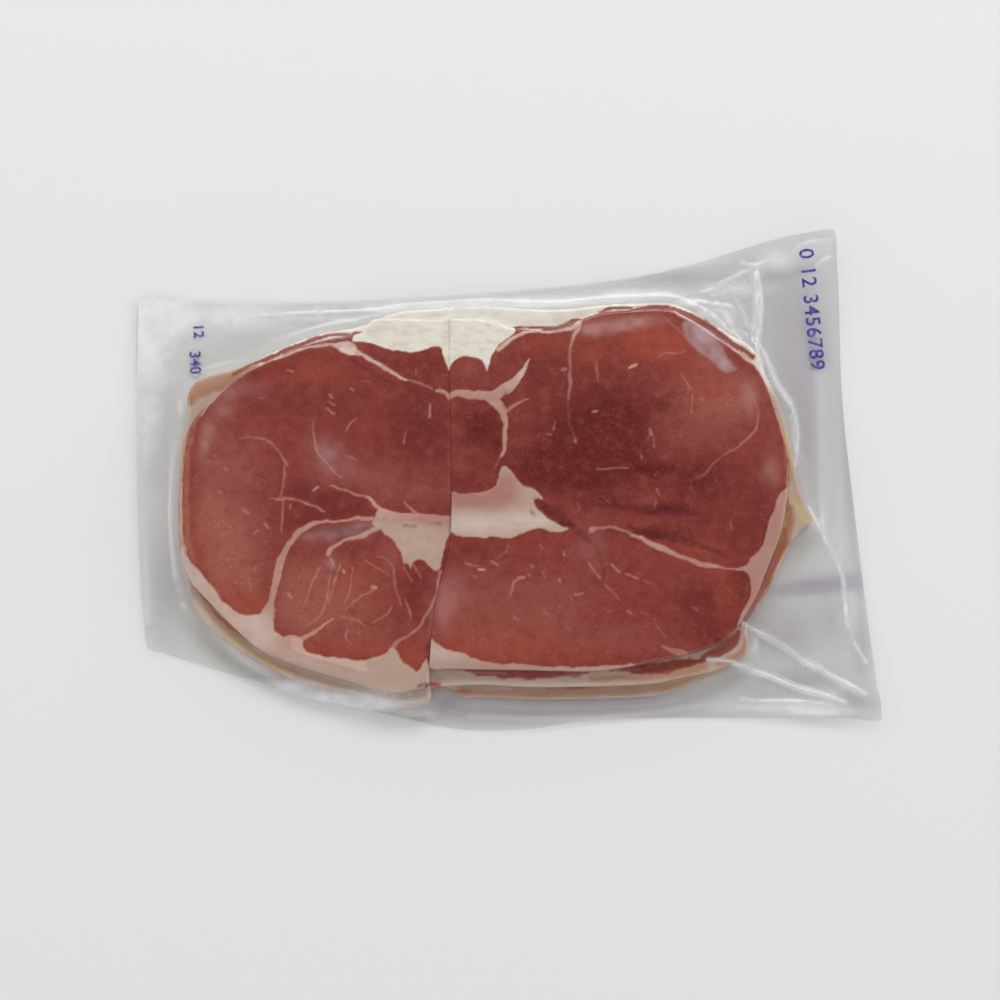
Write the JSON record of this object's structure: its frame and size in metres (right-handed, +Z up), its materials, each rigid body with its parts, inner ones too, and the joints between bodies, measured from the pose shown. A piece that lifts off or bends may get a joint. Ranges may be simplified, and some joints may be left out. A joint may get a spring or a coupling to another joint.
{
  "type": "vacuum-packed sliced country ham",
  "caption": "Flat clear film pouch shrunk onto stacked half slices of dry-cured country ham, with a wide, slightly raised film skirt.",
  "frame": {"origin": "on the table, under the middle of the pouch's outline", "axes": "+X along the pouch, towards the end with the wider skirt; +Y across it; +Z up, out of the shown side"},
  "size_m": [0.306, 0.2094, 0.0154],
  "materials": {
    "film": "clear, glossy, creased packing film",
    "ham": "moist cured meat, lean marbled with cream fat"
  },
  "bodies": {
    "root": {"bag": "film", "slice_bottom_left": "ham", "slice_bottom_right": "ham", "slice_middle_left": "ham", "slice_middle_right": "ham", "slice_top_left": "ham", "slice_top_right": "ham"}
  },
  "joints": []
}
